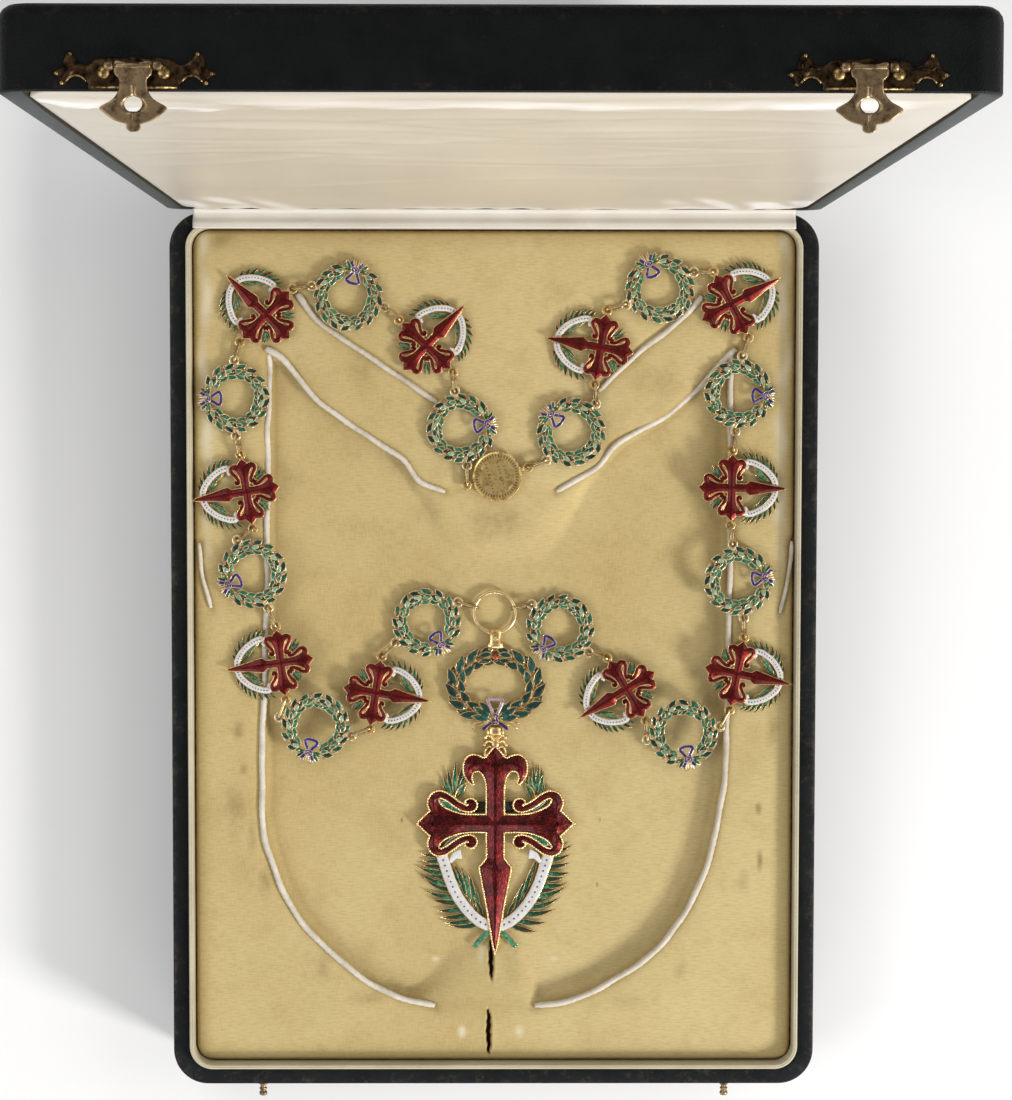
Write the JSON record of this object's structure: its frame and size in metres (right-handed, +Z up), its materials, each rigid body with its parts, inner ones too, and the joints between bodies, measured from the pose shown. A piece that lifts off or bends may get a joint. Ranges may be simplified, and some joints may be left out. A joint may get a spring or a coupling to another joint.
{
  "type": "chivalric order collar in hinged case",
  "caption": "Chivalric order collar of enamelled sword crosses and laurel wreaths with a cross pendant, lying on the pad of an open fitted case with a hinged lid and hasps.",
  "frame": {"origin": "middle of the underside of the case's tray", "axes": "+Z up, +Y towards the case's hinge, +X to the right seen from the front"},
  "size_m": [0.2492, 0.3662, 0.3818],
  "materials": {
    "red_enamel": "translucent red enamel in gilt metal edges",
    "green_enamel": "green enamel leaves in gilt metal edges",
    "gilt": "polished gilt silver",
    "old_brass": "darkened brass, worn bright on the edges",
    "leatherette": "near black grained leatherette over thin wood",
    "lip_paper": "cream glazed paper over card",
    "pad_cloth": "stained champagne ribbed cloth",
    "satin": "cream satin"
  },
  "bodies": {
    "case": {"case_tray": "leatherette", "case_lip": "lip_paper", "case_pad": "pad_cloth", "catch_post_left": "old_brass", "catch_post_right": "old_brass", "clasp_seal": "gilt", "cross_link_01": "red_enamel", "cross_link_02": "red_enamel", "cross_link_03": "red_enamel", "cross_link_04": "red_enamel", "cross_link_05": "red_enamel", "cross_link_06": "red_enamel", "cross_link_07": "red_enamel", "cross_link_08": "red_enamel", "cross_link_09": "red_enamel", "cross_link_10": "red_enamel", "wreath_link_01": "green_enamel", "wreath_link_02": "green_enamel", "wreath_link_03": "green_enamel", "wreath_link_04": "green_enamel", "wreath_link_05": "green_enamel", "wreath_link_06": "green_enamel", "wreath_link_07": "green_enamel", "wreath_link_08": "green_enamel", "wreath_link_09": "green_enamel", "wreath_link_10": "green_enamel", "wreath_link_11": "green_enamel", "wreath_link_12": "green_enamel", "jump_link_01": "gilt", "jump_link_02": "gilt", "jump_link_03": "gilt", "jump_link_04": "gilt", "jump_link_05": "gilt", "jump_link_06": "gilt", "jump_link_07": "gilt", "jump_link_08": "gilt", "jump_link_09": "gilt", "jump_link_10": "gilt", "jump_link_11": "gilt", "jump_link_12": "gilt", "jump_link_13": "gilt", "jump_link_14": "gilt", "jump_link_15": "gilt", "jump_link_16": "gilt", "jump_link_17": "gilt", "jump_link_18": "gilt", "jump_link_19": "gilt", "jump_link_20": "gilt", "jump_link_21": "gilt", "jump_link_22": "gilt", "jump_link_23": "gilt", "jump_link_24": "gilt", "centre_ring": "gilt", "pendant_bail": "gilt", "pendant_wreath": "green_enamel", "pendant_cross": "red_enamel"},
    "lid": {"case_lid": "leatherette", "lid_lining": "satin"},
    "hasp_left": {"hasp_left": "old_brass"},
    "hasp_right": {"hasp_right": "old_brass"}
  },
  "joints": [
    {"name": "lid_hinge", "type": "hinge", "parent": "case", "child": "lid", "pos_m": [0, 0.1694, 0.0404], "axis": [1, 0, 0], "range_deg": [0, 90]},
    {"name": "hasp_left_hinge", "type": "hinge", "parent": "lid", "child": "hasp_left", "pos_m": [-0.09, 0.1758, 0.3806], "axis": [-1, 0, 0], "range_deg": [0, 150]},
    {"name": "hasp_right_hinge", "type": "hinge", "parent": "lid", "child": "hasp_right", "pos_m": [0.09, 0.1758, 0.3806], "axis": [-1, 0, 0], "range_deg": [0, 150]}
  ]
}
